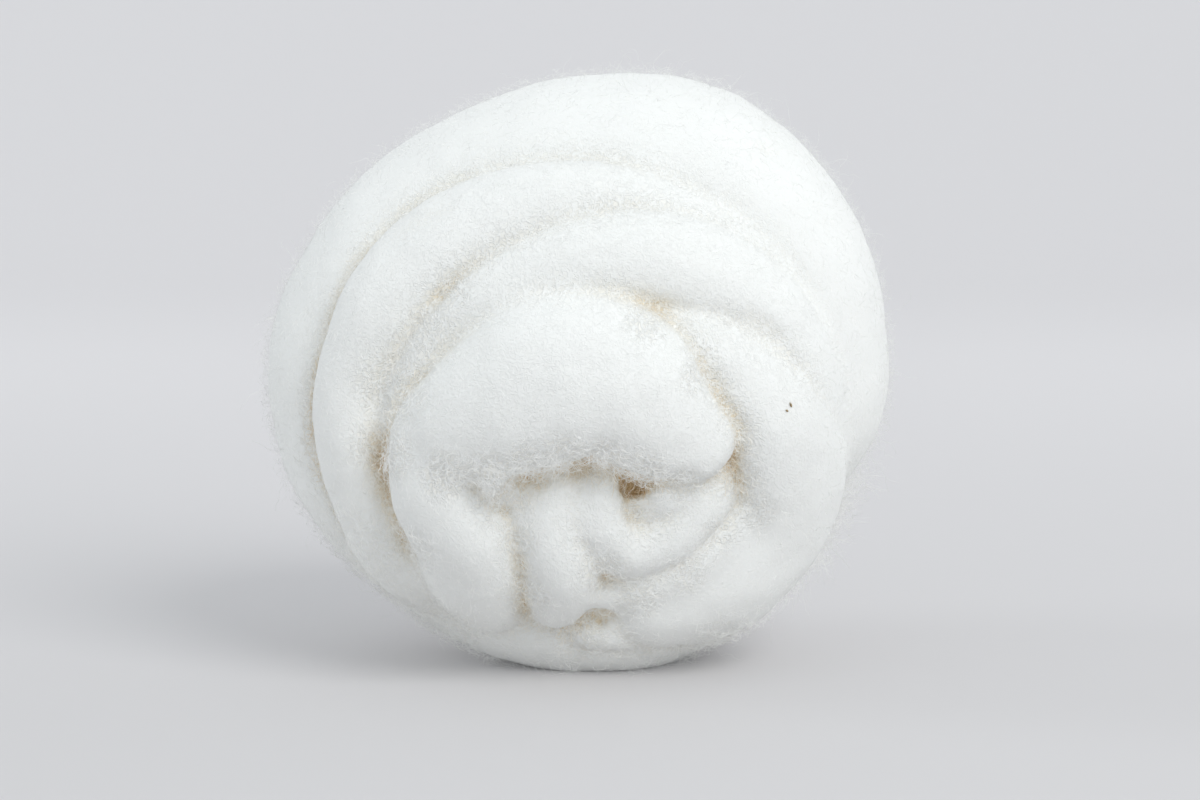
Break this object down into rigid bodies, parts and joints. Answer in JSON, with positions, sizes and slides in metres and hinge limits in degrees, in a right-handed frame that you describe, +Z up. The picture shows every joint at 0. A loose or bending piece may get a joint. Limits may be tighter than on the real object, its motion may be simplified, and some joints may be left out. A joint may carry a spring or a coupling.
{
  "type": "wool roving ball",
  "caption": "Soft ball of natural white wool roving: one thick untwisted strand wound in broad turns, its inner end folded and tucked into the middle of the face.",
  "frame": {"origin": "centre of the ball's outline seen from above, on the surface that it rests on", "axes": "+Z up, -Y out of the face where the strand's inner end is folded and tucked in, +X to the right of that face"},
  "size_m": [0.1314, 0.1197, 0.125],
  "materials": {
    "wool": "matte, fibrous"
  },
  "bodies": {
    "root": {"wool_roving_ball": "wool"}
  },
  "joints": []
}
